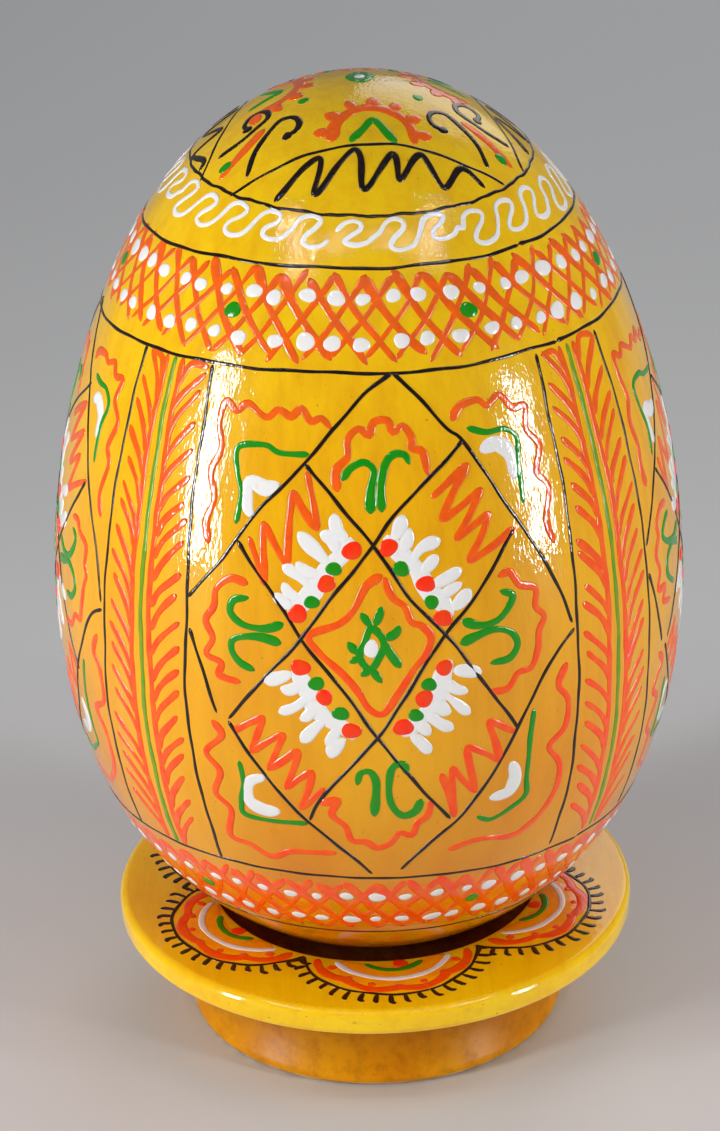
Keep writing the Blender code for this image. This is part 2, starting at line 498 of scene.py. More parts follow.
def egg_ground():
    """The egg's yellow ground, deepening to amber down the egg, partly as its own tone and partly as
    painted shade on the lower egg, with brushed streaks.
    """
    nodes = Nodes("egg_ground_lacquer", 0.32)
    level = nodes.span(nodes.height(), EGG_BOTTOM, EGG_TOP)
    # Partly painted shade: the colour darkens to amber towards the egg's bottom, beyond the paint's own
    # tone.
    stops = [
        (0.00, linear(196, 96, 0)),
        (0.18, linear(216, 120, 0)),
        (0.42, linear(234, 156, 0)),
        (0.68, linear(236, 172, 0)),
        (0.80, linear(236, 186, 0)),
        (1.00, linear(228, 188, 0)),
    ]
    base = nodes.ramp(level, stops)
    streaks = nodes.span(nodes.noise((320, 320, 34), 4.0, 0.6), 0.38, 0.72, 0.0, 0.45)
    base = nodes.mix(streaks, base, linear(205, 128, 0))
    patches = nodes.span(nodes.noise((38, 38, 22), 3.0, 0.55), 0.40, 0.70, 0.0, 0.35)
    base = nodes.mix(patches, base, linear(246, 196, 8))
    specks = nodes.span(nodes.noise((1500, 1500, 1300), 1.0), 0.76, 0.80, 0.0, 0.5)
    base = nodes.mix(specks, base, linear(120, 66, 0))
    nodes.lumpy_lacquer(LUMPS, PIPS)
    return nodes.colour(base)


def stand_ground(name, light, deep, shade, coat, coat_roughness, plate_shade_amount):
    """The stand's lacquer, in patches and faint streaks, with painted shade that darkens it close under the
    plate by the amount given.
    """
    nodes = Nodes(name, 0.36, coat_roughness, coat)
    patches = nodes.span(nodes.noise((60, 60, 60), 3.0, 0.55), 0.35, 0.70)
    base = nodes.mix(patches, light, deep)
    grain = nodes.span(nodes.noise((420, 60, 420), 4.0, 0.65), 0.45, 0.75, 0.0, 0.45)
    base = nodes.mix(grain, base, shade)
    specks = nodes.span(nodes.noise((1300, 1300, 1300), 1.0), 0.75, 0.79, 0.0, 0.6)
    base = nodes.mix(specks, base, linear(110, 60, 4))
    # Painted shade: a dark brown that deepens up the foot towards the plate's underside, and none above it.
    shade_ramp = nodes.span(nodes.height(), FOOT_SHOULDER * 0.15, FOOT_SHOULDER * 0.80, 0.0, plate_shade_amount)
    above = nodes.span(nodes.height(), PLATE_LOW.z, PLATE_LOW.z + FIT_GAP, 1.0, 0.0)
    painted_shade_mask = nodes.tree.nodes.new("ShaderNodeMath")
    painted_shade_mask.operation = "MULTIPLY"
    nodes.tree.links.new(shade_ramp, painted_shade_mask.inputs[0])
    nodes.tree.links.new(above, painted_shade_mask.inputs[1])
    base = nodes.mix(painted_shade_mask.outputs["Value"], base, linear(92, 44, 0))
    nodes.lumpy_lacquer(STAND_LUMPS, STAND_PIPS)
    return nodes.colour(base)


def stroke_paint(name, thick, thin, top=None, cover=(0.30, 0.62), coat=1.0):
    """Brushed paint: thick and thin areas, and on the egg another shade towards the top."""
    nodes = Nodes(name, 0.35 if coat else 0.6, coat=coat)
    coverage = nodes.span(nodes.noise((520, 520, 380), 3.0, 0.6), *cover)
    base = nodes.mix(coverage, thin, thick)
    if top is not None:
        low = EGG_BOTTOM + EGG_HEIGHT * 0.45
        level = nodes.span(nodes.height(), low, low + EGG_HEIGHT * 0.30)
        faded = nodes.mix(coverage, thin, top)
        base = nodes.mix(level, base, faded)
    nodes.lumpy_lacquer(LUMPS * 0.8, PIPS)
    return nodes.colour(base)


def bare_wood(name):
    """Pale turned wood with rings and long pores, oiled but not lacquered."""
    nodes = Nodes(name, 0.62, coat=0.0)
    rings = nodes.tree.nodes.new("ShaderNodeTexWave")
    rings.wave_type = "RINGS"
    rings.rings_direction = "X"
    rings.inputs["Scale"].default_value = 95.0
    rings.inputs["Distortion"].default_value = 3.2
    rings.inputs["Detail"].default_value = 2.5
    nodes.link(nodes.stretched((1.0, 1.0, 0.25)), rings, "Vector")
    base = nodes.mix(rings.outputs["Fac"], linear(214, 176, 122), linear(178, 132, 80))
    pores = nodes.span(nodes.noise((260, 2200, 2200), 3.0), 0.58, 0.70, 0.0, 0.6)
    base = nodes.mix(pores, base, linear(120, 82, 44))
    relief = nodes.bump(nodes.noise((300, 1800, 1800), 2.0), 0.00006)
    nodes.link(relief, nodes.shader, "Normal")
    return nodes.colour(base)


EGG_GROUND = egg_ground()
PLATE_GROUND = stand_ground(
    "plate_lacquer_ground",
    light=linear(252, 206, 14),
    deep=linear(246, 190, 8),
    shade=linear(224, 158, 2),
    coat=1.0,
    coat_roughness=0.05,
    plate_shade_amount=0.0,
)
# The foot's lacquer, with painted shade that darkens it close under the plate.
FOOT_GROUND = stand_ground(
    "foot_lacquer_ground",
    light=linear(226, 150, 4),
    deep=linear(208, 126, 2),
    shade=linear(132, 66, 2),
    coat=0.2,
    coat_roughness=0.35,
    plate_shade_amount=0.9,
)
BARE_WOOD = bare_wood("bare_turned_wood")
ORANGE = stroke_paint("paint_orange", linear(252, 70, 0), linear(248, 98, 2), top=linear(222, 90, 20))
BLACK = stroke_paint("paint_black", linear(14, 8, 6), linear(44, 24, 8))
GREEN = stroke_paint("paint_green", linear(10, 138, 14), linear(44, 138, 8))
LEAF_GREEN = stroke_paint("paint_leaf_green", linear(88, 148, 16), linear(130, 150, 10))
WHITE = stroke_paint("paint_white", linear(232, 230, 228), linear(226, 204, 160), cover=(0.18, 0.38))
AMBER = stroke_paint("paint_amber_wash", linear(255, 152, 6), linear(255, 172, 10))
# Painted shade: a dark, unlacquered brown for the cup and spigot under the egg, standing in for the shadow
# in the gap round it.
SEAT_PAINTED_SHADE = stroke_paint("seat_painted_shade", linear(96, 46, 14), linear(120, 62, 22), coat=0.0)
ORANGE_WASH = stroke_paint("paint_orange_wash", linear(240, 112, 6), linear(238, 138, 8))
RED = stroke_paint("paint_red", linear(255, 46, 8), linear(240, 70, 12))


# ===== Turned wood =====
def egg_outline(rings=230):
    """The egg's outline from the tip to the socket for the dowel in its blunt end."""
    arcs = np.linspace(0, PROFILE_ARC[-1], rings + 1)
    radius, z = egg_ring(arcs)
    outer = [(r, h) for r, h in zip(radius, z) if r > SOCKET_RADIUS or h > EGG_TOP - EGG_HEIGHT / 2]
    ease = SOCKET_RADIUS / 12  # the bevel at the socket's far end
    blunt_end = slice(None, -401, -1)  # the profile's last 400 points, from the bottom up
    lip = egg_ring(np.interp(SOCKET_RADIUS, PROFILE_R[blunt_end], PROFILE_ARC[blunt_end]))
    return [(0.0, outer[0][1])] + outer[1:] + [
        (float(lip[0]), float(lip[1])),
        (SOCKET_RADIUS, SOCKET_TOP - ease),
        (SOCKET_RADIUS - ease, SOCKET_TOP),
        (0.0, SOCKET_TOP),
    ]


def egg_cup():
    """The cup in the foot's top, which follows the egg's blunt end a gap away from it."""
    arcs = np.linspace(0.6 * PROFILE_ARC[-1], PROFILE_ARC[-1], 400)
    radius, z = egg_ring(arcs, FIT_GAP)
    inside = (z < SPIGOT_TOP) & (radius > SOCKET_RADIUS)
    points = list(zip(radius[inside][::-6], z[inside][::-6]))
    return [(float(r), float(h)) for r, h in points]


def foot_outline():
    """The foot: dowel hole, cup, spigot, shoulder, coved side, rounded edge and recessed underside."""
    hole_bottom = PEG_LOW.z - FIT_GAP
    spigot_radius = PLATE_HOLE_RADIUS - FIT_GAP
    chamfer = 0.5 * MM
    neck = FOOT_BASE_RADIUS * 0.951
    cove_depth = FOOT_BASE_RADIUS * 0.052
    edge = 2.0 * MM
    recess_radius = FOOT_BASE_RADIUS * 0.671
    recess = 1.5 * MM
    outline = [(0.0, hole_bottom), (SOCKET_RADIUS, hole_bottom)]
    outline += egg_cup()
    outline += [(spigot_radius - chamfer, SPIGOT_TOP), (spigot_radius, SPIGOT_TOP - chamfer)]
    outline += [(spigot_radius, FOOT_SHOULDER)]
    outline += arc(neck - chamfer, FOOT_SHOULDER - chamfer, chamfer, 90, 0, 4)
    side_top = FOOT_SHOULDER - chamfer
    for down in np.arange(1, 24) / 24:
        straight = neck + (FOOT_BASE_RADIUS - neck) * down
        cove = cove_depth * math.sin(math.pi * down)
        outline.append((straight - cove, side_top + (edge - side_top) * down))
    outline += arc(FOOT_BASE_RADIUS - edge, edge, edge, 0, -90)
    outline += [(recess_radius + chamfer, 0.0), (recess_radius, chamfer)]
    outline += [(recess_radius, recess - chamfer), (recess_radius - chamfer, recess), (0.0, recess)]
    return outline


def plate_outline():
    """The plate's section: a rim rounded above and below, and an eased hole."""
    top = PLATE_HIGH.z
    bottom = PLATE_LOW.z
    edge = 1.5 * MM
    ease = 0.6 * MM
    outline = arc(PLATE_RADIUS - edge, top - edge, edge, 90, 0)
    outline += arc(PLATE_RADIUS - edge, bottom + edge, edge, 0, -90)
    outline += arc(PLATE_HOLE_RADIUS + ease, bottom + ease, ease, 270, 180, 5)
    outline += arc(PLATE_HOLE_RADIUS + ease, top - ease, ease, 180, 90, 5)
    return outline


SOCKET_REACH = SOCKET_RADIUS * 1.001  # a hair more, so that a test for faces in the bore takes in its wall


def show_where(piece, material_index, test):
    """Show another of the piece's materials on the faces whose centre and normal pass the test."""
    for face in piece.data.polygons:
        if test(face.center, face.normal):
            face.material_index = material_index


def make_turned_pieces():
    """The egg, the foot and the plate in place of their CAD solids, and the CAD dowel in bare wood."""
    egg = lathe("painted_egg", egg_outline(), 320, [EGG_GROUND, BARE_WOOD], "egg")
    show_where(egg, 1, lambda c, n: c.z < SOCKET_TOP * 1.001 and math.hypot(c.x, c.y) < SOCKET_REACH)
    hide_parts("egg_body")
    woods = [FOOT_GROUND, BARE_WOOD, SEAT_PAINTED_SHADE]
    foot = lathe("turned_foot", foot_outline(), 256, woods, "stand")
    show_where(foot, 1, lambda c, n: n.z < -0.5 or math.hypot(c.x, c.y) < SOCKET_REACH)
    # Painted shade: the upward faces of the cup and spigot inside the plate's hole take the dark brown that
    # stands for the shadow round the egg's blunt end.
    show_where(foot, 2, lambda c, n: n.z > 0.1 and math.hypot(c.x, c.y) < PLATE_HOLE_RADIUS)
    foot.data.set_sharp_from_angle(angle=math.radians(50))
    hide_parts("stand_foot")
    section = plate_outline()
    plate = lathe("turned_plate", section, 320, [PLATE_GROUND], "stand", closed=True)
    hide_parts("stand_plate")
    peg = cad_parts["locating_peg"]
    peg.data.materials.clear()
    peg.data.materials.append(BARE_WOOD)


# ===== The cap: everything above the cap circle =====
# Each lens: the azimuth of its middle, half its width in degrees, and how near its chord comes to the tip
CAP_LENSES = ((3.0, 51.0, 18.4), (106.0, 38.0, 21.0), (182.0, 27.0, 24.4), (256.0, 38.0, 21.0))
CAP_BURSTS = (0.0, 106.0, 181.0, 254.0)
CAP_DIAGONALS = (64.0, 150.0, 213.0, 302.5)
# The front burst: the middle of its arch, the arch's half-width and reach, and its rays and chevron
BURST_X = 2.0
BURST_Y = -17.5
BURST_HALF_WIDTH = 7.0
BURST_REACH = 7.6
BURST_RAY = 3.0
CHEVRON_HALF_WIDTH = 3.8
CHEVRON_DEPTH = 5.0
# The two generic hooks: a shaft of two points, and a round top
CAP_CANE = [(5.5, -27.0), (2.5, -22.5)] + arc(3.2, -16.5, 2.3, 190, -30, 5)
CAP_CURL = [(-4.5, -26.5), (-2.5, -22.5)] + arc(-4.2, -17.8, 2.2, -10, 280, 6)


def polar(azimuth, radius):
    """The flat point at an azimuth in degrees and a distance from the centre."""
    a = math.radians(azimuth)
    return (radius * math.sin(a), -radius * math.cos(a))


def turned_points(points, azimuth):
    """Points drawn for the front, at azimuth 0, turned to another azimuth."""
    a = math.radians(azimuth)
    return [(x * math.cos(a) - y * math.sin(a), x * math.sin(a) + y * math.cos(a)) for x, y in points]


def burst_point(turn, beyond=0.0):
    """A point on the front burst's arch, or beyond it, at an angle in degrees from the arch's top."""
    a = math.radians(turn)
    x = BURST_X + (BURST_HALF_WIDTH + beyond) * math.sin(a)
    return (x, BURST_Y + (BURST_REACH + beyond) * math.cos(a))


def sunburst(orange, green, azimuth):
    """An arch with short rays on it, and a chevron inside."""
    arch = [burst_point(turn) for turn in range(-90, 91, 30)]
    orange.stroke(turned_points(arch, azimuth), 2.0, blob=0.3)
    for turn in range(-75, 76, 25):
        ray = [burst_point(turn, BURST_RAY), burst_point(turn)]
        orange.stroke(turned_points(ray, azimuth), 1.7, blob=0.5)
    apex = BURST_Y + BURST_REACH * 0.6
    shares = (-1.0, -0.5, 0.0, 0.5, 1.0)
    chevron = [(BURST_X + CHEVRON_HALF_WIDTH * t, apex - CHEVRON_DEPTH * abs(t)) for t in shares]
    green.stroke(turned_points(chevron, azimuth), 1.6)


def cap_scrolls(black, azimuth, side):
    """Two generic hooks, one on each side of a diagonal bar."""
    for hook in (CAP_CANE, CAP_CURL):
        points = [(side * x, y) for x, y in hook]
        black.stroke(turned_points(points, azimuth), 1.1, 0.11)
        black.dot(turned_points(points[-1:], azimuth)[0], 1.8, 0.13)


def lens_chord(azimuth, lens):
    """How far from the tip a lens's chord lies at an azimuth."""
    middle, half_width, apex = lens
    turn = azimuth - middle
    straight = CAP_CIRCLE * math.cos(math.radians(half_width))
    bulge = (apex - straight) * (1 - (turn / half_width) ** 2)
    return min(straight / math.cos(math.radians(turn)) + bulge, CAP_CIRCLE)


def wave_in_lens(black, lens):
    """A plain leaning zigzag that fills a lens: each tooth rises slowly and falls steeply."""
    middle, half_width, _ = lens
    teeth = max(3, round(half_width / 10))
    start = middle - half_width * 0.66
    pitch = half_width * 1.5 / teeth
    points = []
    for k in range(teeth + 1):
        low = start + k * pitch + dice.uniform(-1.2, 1.2)
        depth = min(lens_chord(low, lens) + dice.uniform(7.0, 8.6), CAP_CIRCLE - 1.0)
        points.append(polar(low, depth))
        high = low + pitch * dice.uniform(0.72, 0.95)
        if k < teeth:
            points.append(polar(high, lens_chord(high, lens) + dice.uniform(1.0, 2.4)))
    black.stroke(points, 1.15, 0.13, wobble=0.12, blob=0.4)


CIRCLE_WIDTH = 0.6  # of the thin black circles
OUTLINE_WIDTH = 0.62  # of the other thin black lines on the egg


def make_cap():
    """The cap's black circle, four lenses with zigzags, four sunbursts, four diagonals and the tip."""
    black = Paint("cap_black_lines", EggCap, BLACK)
    green = Paint("cap_green_marks", EggCap, GREEN)
    orange = Paint("cap_orange_bursts", EggCap, ORANGE)
    white = Paint("cap_white_tip", EggCap, WHITE)
    circle = [polar(a, CAP_CIRCLE + 0.5 * math.sin(math.radians(a * 2 + 40))) for a in range(0, 360, 15)]
    black.stroke(circle, CIRCLE_WIDTH, closed=True, wobble=0.12)
    for lens in CAP_LENSES:
        azimuths = [lens[0] + lens[1] * (step / 4 - 1) for step in range(9)]
        chord = [polar(azimuth, lens_chord(azimuth, lens)) for azimuth in azimuths]
        black.stroke(chord, OUTLINE_WIDTH, wobble=0.14)
        wave_in_lens(black, lens)
    for azimuth in CAP_BURSTS:
        sunburst(orange, green, azimuth)
    for number, azimuth in enumerate(CAP_DIAGONALS):
        orange.stroke(turned_points([(-0.2, -18.6), (0.2, -23.4), (0.0, -29.6)], azimuth), 1.7, blob=0.2)
        green.dot(polar(azimuth - 1.5, 27.4), 2.2, 0.15, stretch=1.2)
        green.dot(polar(azimuth - 2, 10.6), 1.9)
        cap_scrolls(black, azimuth, -1 if number % 2 == 0 else 1)
    tip = (0.0, 1.6)
    diamond = [(0.0, -2.9), (2.1, -0.2), (0.2, 3.2), (-2.2, 0.2)]
    green.dot(tip, 4.6, 0.10)
    for (ax, ay), (bx, by) in zip(diamond, diamond[1:] + diamond[:1]):
        green.stroke([(tip[0] + ax, tip[1] + ay), (tip[0] + bx, tip[1] + by)], 1.5, 0.11)
    white.dot(tip, 2.4, 0.2, stretch=0.8)
    for paint in (black, green, orange, white):
        paint.build()


# ===== The bands above and below the panels =====
# Each black circle: its level, how far it sways up and down, and where it starts to
CIRCLES = (
    (LATTICE_TOP, 0.7, 200),
    (PANEL_TOP, 0.9, 190),
    (PANEL_BOTTOM, 0.7, 20),
    (LOWER_LATTICE_BOTTOM, 0.4, 80),
)


def make_circles():
    """The thin black circles that divide the bands, each drawn once round and a little over its start."""
    black = Paint("band_black_circles", EggSide, BLACK)
    for level, sway, phase in CIRCLES:
        points = []
        for azimuth in range(46, 46 + 368, 8):
            drift = sway * math.sin(math.radians(azimuth + phase)) + dice.uniform(-0.15, 0.15)
            points.append((azimuth, level + drift + 0.35 * math.sin(math.radians(3 * azimuth))))
        black.stroke(points, CIRCLE_WIDTH, wobble=0.08, blob=0.4)
    black.build()


# One wave of the meander: the share of its length, and the share of its depth
MEANDER_WAVE = (
    (0.0, 0.45), (0.14, 0.12), (0.38, 0.0), (0.60, 0.12), (0.54, 0.36),
    (0.32, 0.62), (0.24, 0.86), (0.44, 1.0), (0.72, 0.92), (0.88, 0.70),
)
MEANDER_WAVES = 28
MEANDER_DEPTH = 4.5


def make_meander():
    """The white running wave between the cap circle and the upper lattice."""
    white = Paint("meander_white", EggSide, WHITE)
    pitch = 360 / MEANDER_WAVES
    points = []
    for k in range(MEANDER_WAVES):
        depth = MEANDER_DEPTH * dice.uniform(0.86, 1.18)
        sway = 0.9 * math.sin(math.radians(k * pitch - 40))
        top = CAP_CIRCLE + 1.5 + sway + dice.uniform(-0.3, 0.3)
        for x, y in MEANDER_WAVE:
            points.append(((k + x + dice.uniform(-0.03, 0.03)) * pitch - 8, top + depth * y))
    white.stroke(points, 0.85, 0.10, wobble=0.08)
    white.build()


def make_lattice(name, top, bottom, columns, line_width, dot_size, green_every, wash=False):
    """Crossed orange diagonals, with two rows of white dots and a few green ones between them."""
    orange = Paint(name + "_orange_lattice", EggSide, ORANGE)
    white = Paint(name + "_white_dots", EggSide, WHITE)
    green = Paint(name + "_green_dots", EggSide, GREEN)
    pitch = 360 / columns
    depth = bottom - top
    if wash:
        ground = Paint(name + "_orange_wash", EggSide, ORANGE_WASH)
        for share in (0.24, 0.48, 0.72):
            level = top + depth * share
            ring = [(azimuth, level + dice.uniform(-0.4, 0.4)) for azimuth in range(0, 360, 10)]
            ground.stroke(ring, depth * 0.36, 0.02, closed=True, wobble=0.2, step=0.9)
        ground.build()
    for k in range(columns):
        for direction in (-1, 1):
            start = k * pitch + dice.uniform(-0.1, 0.1) * pitch
            end = start + direction * pitch * 2 + dice.uniform(-0.12, 0.12) * pitch
            rise = dice.uniform(-0.4, 1.0)
            middle = ((start + end) / 2, top + depth * 0.5)
            points = [(start, top + rise), middle, (end, bottom - dice.uniform(0.6, 2.0))]
            width = line_width * dice.uniform(0.85, 1.15) * (1.2 if direction > 0 else 0.85)
            orange.stroke(points, width, 0.06, wobble=0.12, blob=0.35, step=0.8)
        for row in (0.27, 0.73):
            x = (k + 0.02) * pitch + dice.uniform(-0.16, 0.16) * pitch
            centre = (x, top + depth * row + dice.uniform(-0.4, 0.4))
            size = dot_size * dice.choice((0.86, 0.95, 1.0, 1.05, 1.22))
            white.dot(centre, size, 0.18, stretch=dice.uniform(1.0, 1.25), turn=dice.uniform(-0.3, 0.3))
        if k % green_every == 3:
            green.dot(((k + 0.5) * pitch, top + depth * 0.48), dot_size * 1.12, 0.18, stretch=1.15)
    for paint in (orange, white, green):
        paint.build()


# ===== The fern bands between the panels =====
def make_ferns():
    """Four upright ferns: a green midrib between orange lines, and leaflets that rise outwards."""
    orange = Paint("fern_orange_leaflets", EggSide, ORANGE)
    green = Paint("fern_green_midribs", EggSide, LEAF_GREEN)
    black = Paint("fern_black_edges", EggSide, BLACK)
    panels = list(zip(PANEL_AXES, PANEL_HALF_WIDTHS))
    for k, (axis, half_width) in enumerate(panels):
        following, next_half_width = panels[(k + 1) % len(panels)]
        left = axis + half_width
        right = following + (360 if following < axis else 0) - next_half_width
        fern(orange, green, black, left, right)
    for paint in (orange, green, black):
        paint.build()


FERN_STEPS = 7  # stretches along a fern's upright lines
FERN_LEAFLETS = 21  # on each side
FERN_RISE = 7.6  # of a leaflet's tip above its root


def fern(orange, green, black, left, right):
    """One fern between two black edges: its upright lines, then pairs of leaflets from the top down."""
    middle = (left + right) / 2
    top = PANEL_TOP + 0.4
    bottom = PANEL_BOTTOM - 0.4
    levels = np.linspace(top, bottom, FERN_STEPS + 1)
    for edge, pull in ((left, -1.4), (right, 2.0)):
        points = []
        for step, level in enumerate(levels):
            drift = pull * (step / FERN_STEPS) ** 3 + dice.uniform(-0.35, 0.35)
            points.append((edge + drift, level))
        black.stroke(points, OUTLINE_WIDTH, wobble=0.10, blob=0.3)
    lean = dice.uniform(-2.2, 2.2)
    rib = []
    for step, level in enumerate(levels):
        rib.append((middle + lean * (0.5 - step / FERN_STEPS) + dice.uniform(-0.3, 0.3), level))
    green.stroke(rib, 0.95, 0.11)
    for offset in (-2.5, 2.1):
        points = [(x + offset + dice.uniform(-0.2, 0.2), y) for x, y in rib]
        orange.stroke(points, 1.25, 0.07)
    for k in range(FERN_LEAFLETS):
        root = top + 4.2 + (bottom - top - 5.0) * k / (FERN_LEAFLETS - 1)
        rib_x = middle + lean * (0.5 - (root - top) / (bottom - top))
        for side, edge in ((-1, left), (1, right)):
            tip_x = edge - side * dice.uniform(0.9, 2.2)
            rise = FERN_RISE + dice.uniform(-0.8, 0.8)
            shift = dice.uniform(-0.6, 0.6)
            start = (tip_x, root + shift - rise)
            bend = ((tip_x + rib_x) / 2, root + shift - rise * 0.46)
            end = (rib_x + side * 2.3, root + shift)
            if start[1] < top:
                start = (tip_x, top + 0.5)
            orange.stroke([start, bend, end], dice.uniform(1.05, 1.45), 0.08, wobble=0.08)


# ===== The four diamond panels =====
# Every point is an azimuth in degrees and an arc length in design millimetres, on the front panel
DIAMOND_LINES = (
    ((5.5, 56.4), (-0.5, 59.6), (-6.0, 64.6), (-12.0, 70.5), (-20.0, 78.2), (-27.0, 87.0),
     (-33.5, 94.5)),
    ((5.5, 56.4), (11.0, 60.7), (16.0, 65.8), (19.0, 68.2), (25.0, 77.0), (30.0, 85.0),
     (35.0, 94.0), (37.6, 101.0)),
    ((-33.0, 99.5), (-30.0, 107.0), (-27.6, 113.4)),
    ((-25.5, 114.4), (-20.0, 122.5), (-15.0, 129.0), (-10.0, 134.0), (-5.0, 139.2), (-0.5, 144.0)),
    ((38.0, 102.0), (34.0, 105.0), (30.0, 110.0), (25.5, 117.5), (22.0, 124.0), (16.0, 132.0),
     (10.0, 137.6), (5.0, 143.2)),
    ((-12.0, 70.5), (-6.0, 76.0), (0.5, 83.0), (7.0, 92.0), (13.0, 98.5), (20.0, 108.0),
     (26.0, 117.0)),
    ((-24.0, 83.5), (-16.0, 93.0), (-12.0, 98.5), (-5.0, 107.0), (1.0, 115.5), (7.0, 124.0),
     (14.0, 132.4)),
    ((19.0, 67.8), (10.0, 74.2), (4.0, 79.4), (0.5, 83.5), (-6.0, 91.0), (-12.0, 98.5),
     (-17.0, 104.2), (-25.6, 114.0)),
    ((27.0, 83.0), (20.0, 91.5), (13.0, 98.5), (6.0, 108.0), (1.0, 115.5), (-4.0, 121.0),
     (-9.0, 127.0), (-11.5, 132.0)),
)
ZIGZAGS = (
    ((-21.9, 82.7), (-18.6, 90.4), (-19.3, 80.0), (-14.5, 86.8), (-13.9, 74.7), (-9.2, 80.9),
     (-11.4, 71.6)),
    ((11.6, 76.2), (19.4, 71.4), (13.2, 80.0), (21.6, 75.6), (15.6, 83.4), (22.8, 79.6),
     (17.6, 87.2), (27.4, 82.8)),
    ((-24.8, 116.2), (-18.6, 112.6), (-21.6, 119.6), (-15.2, 115.2), (-18.6, 122.6), (-12.8, 118.0),
     (-15.6, 126.0), (-10.4, 121.8), (-13.2, 129.8), (-8.6, 125.0)),
    ((12.0, 123.0), (14.6, 132.2), (13.8, 121.8), (18.4, 127.8), (16.4, 118.4), (22.8, 122.6),
     (20.2, 114.2), (25.6, 117.6)),
)
WAVY_LINES = (
    # round the centre cell
    ((2.4, 87.9), (-0.6, 89.6), (-2.6, 93.4), (-5.2, 95.8), (-10.6, 98.0), (-9.0, 100.6),
     (-5.2, 103.8), (-2.4, 107.0), (-0.4, 110.4), (2.0, 111.3), (4.6, 107.8), (7.4, 103.6),
     (9.2, 101.8), (10.5, 98.6), (9.0, 96.6), (7.2, 95.8), (6.0, 93.2), (4.2, 91.8), (3.0, 90.0),
     (2.5, 88.2)),
    # the scalloped arch of the top cell
    ((-5.6, 74.6), (-6.0, 71.4), (-3.8, 69.2), (-3.6, 66.6), (-1.6, 65.0), (0.4, 65.9), (1.6, 64.0),
     (4.2, 63.8), (5.2, 65.6), (7.2, 64.6), (8.8, 66.6), (8.6, 68.2), (10.8, 69.0), (11.2, 72.6)),
    # the side cells
    ((-21.6, 90.4), (-25.0, 90.0), (-27.8, 92.0), (-28.2, 95.0), (-29.6, 97.6), (-28.2, 100.4),
     (-29.4, 103.2), (-26.4, 104.4), (-27.0, 106.6), (-22.8, 107.2)),
    ((23.0, 90.2), (25.4, 89.8), (27.2, 92.2), (30.2, 93.4), (30.0, 96.4), (31.6, 98.4),
     (30.4, 100.6), (30.2, 103.6), (28.6, 106.6), (26.0, 107.0), (24.0, 109.2), (20.4, 109.2)),
    # the bottom cell
    ((-9.6, 128.4), (-6.4, 127.6), (-7.4, 130.4), (-5.0, 132.8), (-4.2, 136.0), (-1.4, 136.4),
     (0.4, 137.8), (3.0, 136.8), (4.8, 134.4), (6.8, 135.2), (8.0, 132.6), (9.6, 131.2),
     (10.4, 127.8)),
    # the corner triangles
    ((-29.8, 85.0), (-30.6, 81.4), (-29.4, 77.6), (-30.8, 73.4), (-29.2, 69.6), (-30.2, 65.4),
     (-29.4, 62.2), (-26.8, 63.4), (-24.4, 62.0), (-20.4, 63.8), (-17.8, 62.4), (-15.2, 63.4),
     (-13.0, 62.2), (-11.0, 64.0), (-9.0, 63.4), (-7.0, 65.0)),
    ((17.0, 64.6), (19.0, 62.6), (23.0, 62.0), (25.0, 63.2), (28.0, 61.8), (30.4, 64.2),
     (33.6, 64.4), (32.8, 68.0), (35.0, 71.0), (33.4, 75.0), (35.4, 78.0), (34.0, 83.0),
     (35.2, 87.0)),
    ((-28.8, 115.0), (-27.0, 117.4), (-30.4, 121.2), (-28.0, 124.4), (-29.6, 129.0), (-27.0, 132.0),
     (-28.0, 137.8), (-24.0, 139.2), (-20.0, 141.2), (-16.0, 139.6), (-12.0, 139.2), (-7.2, 139.0)),
    ((36.0, 107.4), (34.2, 111.0), (36.4, 114.2), (36.0, 119.0), (32.6, 122.0), (35.4, 126.0),
     (35.4, 131.0), (33.0, 135.0), (30.0, 137.8), (27.0, 139.0), (20.0, 138.2), (14.0, 139.4)),
)
GREEN_BRACKETS = (
    ((-11.0, 68.9), (-17.0, 69.2), (-20.0, 68.2), (-25.4, 69.0), (-25.2, 73.0), (-24.0, 76.2),
     (-24.6, 81.0)),
    ((20.0, 66.2), (24.0, 67.2), (28.0, 67.2), (30.4, 69.2), (29.6, 73.2), (29.5, 79.4)),
    ((-24.0, 121.6), (-23.6, 126.0), (-24.4, 130.0), (-24.0, 132.4), (-18.0, 133.0),
     (-12.0, 132.6)),
    ((29.0, 114.0), (28.5, 120.0), (28.5, 127.0), (28.6, 130.4), (26.0, 132.4), (22.0, 134.0),
     (19.0, 132.8)),
)
